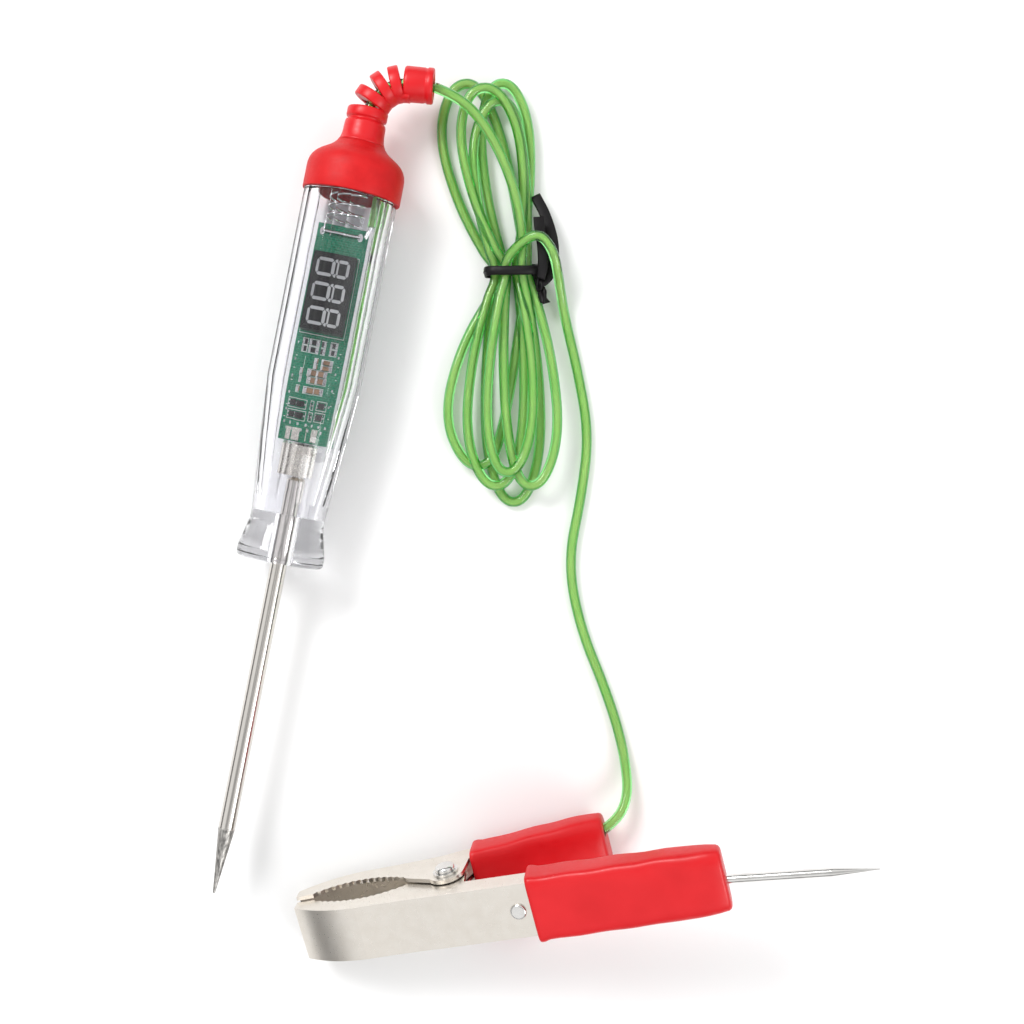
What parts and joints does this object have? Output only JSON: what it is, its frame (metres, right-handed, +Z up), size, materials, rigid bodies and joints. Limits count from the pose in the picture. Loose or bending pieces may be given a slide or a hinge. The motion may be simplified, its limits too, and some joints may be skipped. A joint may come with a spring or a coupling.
{
  "type": "circuit test light",
  "caption": "Needle-probe circuit test light: clear faceted barrel with digital read-out, red cap, tied cord and spring clip with a second needle.",
  "frame": {"origin": "on the surface the tester lies on, below the middle of the handle and needle", "axes": "+Y along the handle from the needle's tip to the cap; +Z up from the surface; +X towards the cord"},
  "size_m": [0.1657, 0.2293, 0.0445],
  "materials": {
    "needle_steel": "drawn and polished, cone ground",
    "clear_acrylic": "clear polished moulding",
    "red_plastic": "fine satin moulding",
    "nickel": "satin nickel plate",
    "board_green": "solder-mask gloss",
    "display_black": "filled epoxy face",
    "segment_grey": "unlit segments",
    "chip_ends": "chip with tinned ends",
    "capacitor_tan": "fired body with tinned ends",
    "chip_black": "moulded epoxy",
    "solder": "bright solder",
    "spring_steel": "bright wire",
    "pin_steel": "bright nickel plate",
    "cord_green": "glossy translucent jacket over stranded core",
    "red_soft": "satin soft vinyl",
    "tie_black": "satin flat tie"
  },
  "bodies": {
    "root": {"end_cap": "red_plastic", "contact_tabs": "nickel", "circuit_board": "board_green", "display_body": "display_black", "display_digits": "segment_grey", "chip_resistors": "chip_ends", "chip_capacitors": "capacitor_tan", "chip_transistors": "chip_black", "chip_diodes": "chip_black", "solder_pads": "solder", "contact_spring": "spring_steel", "spring_link": "spring_steel", "bare_wire_end": "solder", "cord_in_handle": "cord_green", "strain_relief": "red_soft", "cord_lead": "cord_green", "cord_hank": "cord_green", "cord_tail": "cord_green", "twist_tie": "tie_black", "clip_rear_jaw": "nickel", "pivot_pin": "pin_steel", "pivot_washers": "pin_steel", "torsion_spring": "spring_steel", "rear_grip": "red_soft", "cord_crimp": "nickel", "cord_in_clip": "cord_green"},
    "barrel": {"barrel": "clear_acrylic", "probe_needle": "needle_steel", "needle_ferrule": "nickel"},
    "front_jaw": {"clip_front_jaw": "nickel", "front_grip": "red_soft", "clip_spike": "pin_steel", "spike_rivet": "pin_steel"}
  },
  "joints": [
    {"name": "barrel_pull", "type": "slide", "parent": "root", "child": "barrel", "axis": [0, -1, -0.0053], "range_m": [0, 0.012]},
    {"name": "clip_open", "type": "hinge", "parent": "root", "child": "front_jaw", "pos_m": [0.0594, -0.08522, 0.01435], "axis": [-0.4207, 0.8838, 0.2046], "range_deg": [0, 20], "stiffness_Nm_per_rad": 0.3, "springref_deg": -28.65, "deforming": ["torsion_spring"]}
  ]
}
